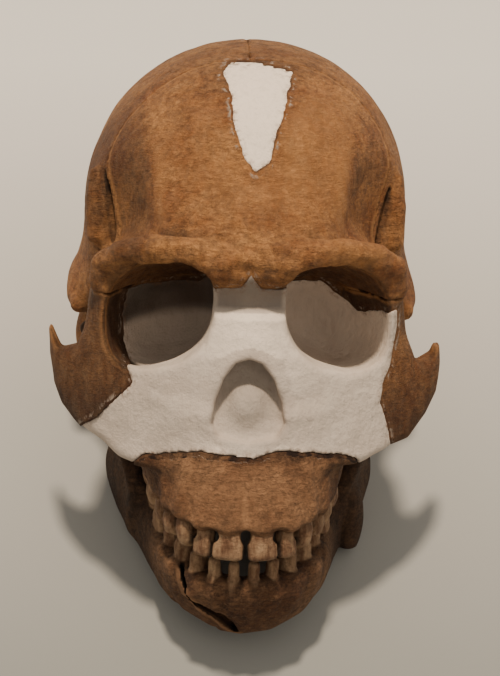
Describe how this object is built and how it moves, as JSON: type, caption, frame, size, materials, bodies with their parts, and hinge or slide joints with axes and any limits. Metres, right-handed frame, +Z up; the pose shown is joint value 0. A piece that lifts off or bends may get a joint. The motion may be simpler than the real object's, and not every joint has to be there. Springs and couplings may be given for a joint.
{
  "type": "fossil hominin skull",
  "caption": "Life-size fossil hominin skull with its lower jaw: brown bone, a heavy brow ridge, worn teeth, and white plaster where the midface and part of the forehead are missing.",
  "frame": {"origin": "centre of the bounding box in x and y, at the floor that the skull rests on", "axes": "+X to the skull's own left (the viewer's right in the picture), +Y towards the back of the head, +Z up"},
  "size_m": [0.1186, 0.1933, 0.1266],
  "materials": {
    "fossil_bone": "matt brown fossil bone, with darker streaks and pits",
    "jaw_bone": "matt dark brown jaw bone with paler worn teeth",
    "plaster": "matt white plaster, brushed smooth"
  },
  "bodies": {
    "root": {"frontal_bone": "fossil_bone", "parietal_left": "fossil_bone", "parietal_right": "fossil_bone", "temporal_left": "fossil_bone", "temporal_right": "fossil_bone", "occipital_bone": "fossil_bone", "sphenoid_bone": "fossil_bone", "zygomatic_left": "fossil_bone", "zygomatic_right": "fossil_bone", "maxilla": "jaw_bone", "mandible": "jaw_bone", "midface_plaster": "plaster", "frontal_patch": "plaster"}
  },
  "joints": []
}
